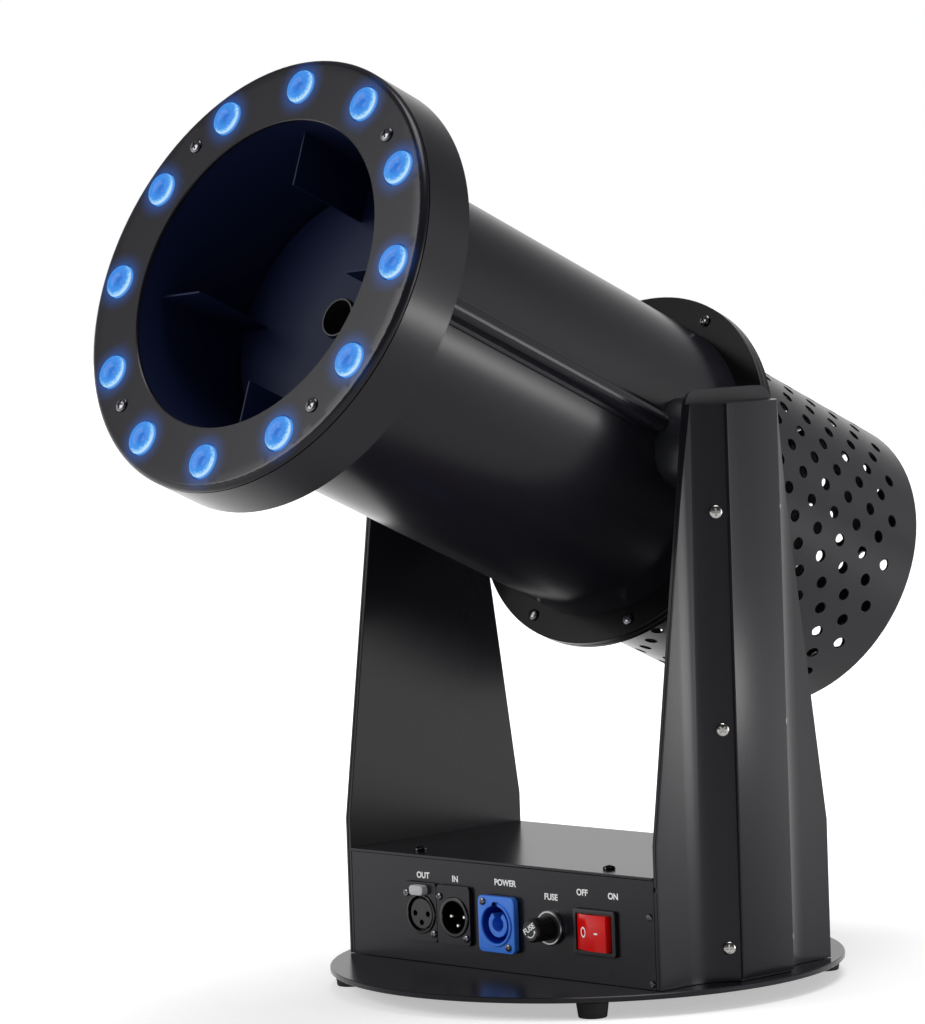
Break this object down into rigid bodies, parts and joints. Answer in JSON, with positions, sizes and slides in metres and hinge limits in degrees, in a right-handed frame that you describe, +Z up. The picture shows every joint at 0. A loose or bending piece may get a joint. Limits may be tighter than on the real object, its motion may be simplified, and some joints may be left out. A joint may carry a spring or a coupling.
{
  "type": "confetti blower",
  "caption": "Fan-fed confetti blower: a lit barrel with a perforated intake cage tilts in a two-armed yoke on a box with sockets, over a round base.",
  "frame": {"origin": "centre of the base disc's underside, under the tilt axis", "axes": "+Z up, -Y towards the connector panel and the side the barrel points to, +X along the tilt axis to the right arm as seen from the front"},
  "size_m": [0.2766, 0.481, 0.4905],
  "materials": {
    "black_powder_coat": "satin black powder coat on sheet steel",
    "black_gloss_paint": "semi-gloss black paint",
    "motor_paint": "black painted motor can",
    "foot_rubber": "matt black rubber",
    "belt_rubber": "matt black belt rubber",
    "nickel_steel": "bright nickel-plated steel",
    "black_steel": "blackened steel screws",
    "machined_aluminium": "machined aluminium",
    "black_aluminium": "black anodised aluminium",
    "bearing_bronze": "sintered bronze",
    "black_plastic": "matt black plastic",
    "latch_plastic": "light grey plastic",
    "inlet_plastic": "blue plastic",
    "rocker_plastic": null,
    "lens_plastic": "clear plastic lenses lit blue from behind",
    "light_board": "white coated circuit board",
    "circuit_board": "green circuit board",
    "fuse_glass": "clear glass tube"
  },
  "bodies": {
    "base": {"base_disc": "black_powder_coat", "base_tray": "black_powder_coat", "front_panel": "black_powder_coat", "top_cover": "black_powder_coat", "cover_screw_1": "black_steel", "cover_screw_2": "black_steel", "foot_1": "foot_rubber", "foot_2": "foot_rubber", "foot_3": "foot_rubber", "foot_4": "foot_rubber", "right_arm_plate": "black_powder_coat", "right_arm_cover": "black_powder_coat", "right_arm_strip": "black_powder_coat", "right_arm_screw_1": "nickel_steel", "right_arm_screw_2": "nickel_steel", "right_arm_screw_3": "nickel_steel", "right_bearing": "bearing_bronze", "left_arm_plate": "black_powder_coat", "left_arm_cover": "black_powder_coat", "left_arm_strip": "black_powder_coat", "left_arm_screw_1": "nickel_steel", "left_arm_screw_2": "nickel_steel", "left_arm_screw_3": "nickel_steel", "left_bearing": "bearing_bronze", "drive_belt": "belt_rubber", "tilt_motor": "motor_paint", "out_socket": "black_plastic", "in_socket": "black_plastic", "power_inlet": "inlet_plastic", "fuse_holder": "black_plastic", "switch_body": "black_plastic", "power_supply": "machined_aluminium", "control_board": "circuit_board"},
    "head": {"right_trunnion": "black_aluminium", "left_trunnion": "black_aluminium", "tilt_pulley": "machined_aluminium", "muzzle_housing": "black_powder_coat", "muzzle_back_plate": "black_powder_coat", "led_board": "light_board", "lens_ring": "lens_plastic", "barrel_tube": "black_powder_coat", "barrel_flange": "black_gloss_paint", "cage_flange": "black_gloss_paint", "cable_cover": "black_powder_coat", "confetti_baffle": "black_powder_coat", "air_nozzle": "machined_aluminium", "fan_spider": "black_aluminium", "fan_motor": "motor_paint", "intake_cage": "black_powder_coat", "cage_end_cap": "black_powder_coat", "muzzle_screw_1": "nickel_steel", "muzzle_screw_2": "nickel_steel", "muzzle_screw_3": "nickel_steel", "muzzle_screw_4": "nickel_steel"},
    "fan_rotor": {"impeller": "black_plastic"},
    "drive_wheel": {"motor_pulley": "machined_aluminium"},
    "latch_tab": {"socket_latch": "latch_plastic"},
    "fuse_link": {"fuse": "fuse_glass"},
    "fuse_knob": {"fuse_cap": "black_plastic"},
    "switch_rocker": {"rocker": "rocker_plastic"}
  },
  "joints": [
    {"name": "head_tilt", "type": "hinge", "parent": "base", "child": "head", "pos_m": [0, 0, 0.2793], "axis": [-1, 0, 0], "range_deg": [-38.5, 66.5]},
    {"name": "motor_pulley_spin", "type": "hinge", "parent": "base", "child": "drive_wheel", "pos_m": [-0.119, 0, 0.032], "axis": [-1, 0, 0], "range_deg": [-115.5, 199.5]},
    {"name": "fan_spin", "type": "hinge", "parent": "head", "child": "fan_rotor", "pos_m": [0, 0, 0.2793], "axis": [0, -0.9173, 0.3981], "continuous": true},
    {"name": "latch_push", "type": "slide", "parent": "base", "child": "latch_tab", "axis": [0, 1, 0], "range_m": [0, 0.0018], "stiffness_N_per_m": 400},
    {"name": "fuse_pull", "type": "slide", "parent": "base", "child": "fuse_link", "axis": [0, -1, 0], "range_m": [0, 0.028]},
    {"name": "fuse_turn", "type": "hinge", "parent": "fuse_link", "child": "fuse_knob", "pos_m": [0.0385, -0.066, 0.0296], "axis": [0, 1, 0], "range_deg": [0, 90]},
    {"name": "power_rocker", "type": "hinge", "parent": "base", "child": "switch_rocker", "pos_m": [0.0712, -0.0593, 0.0296], "axis": [0, 0, 1], "range_deg": [0, 14]}
  ],
  "couplings": [
    {"joint": "motor_pulley_spin", "follows": "head_tilt", "ratio": 3}
  ]
}
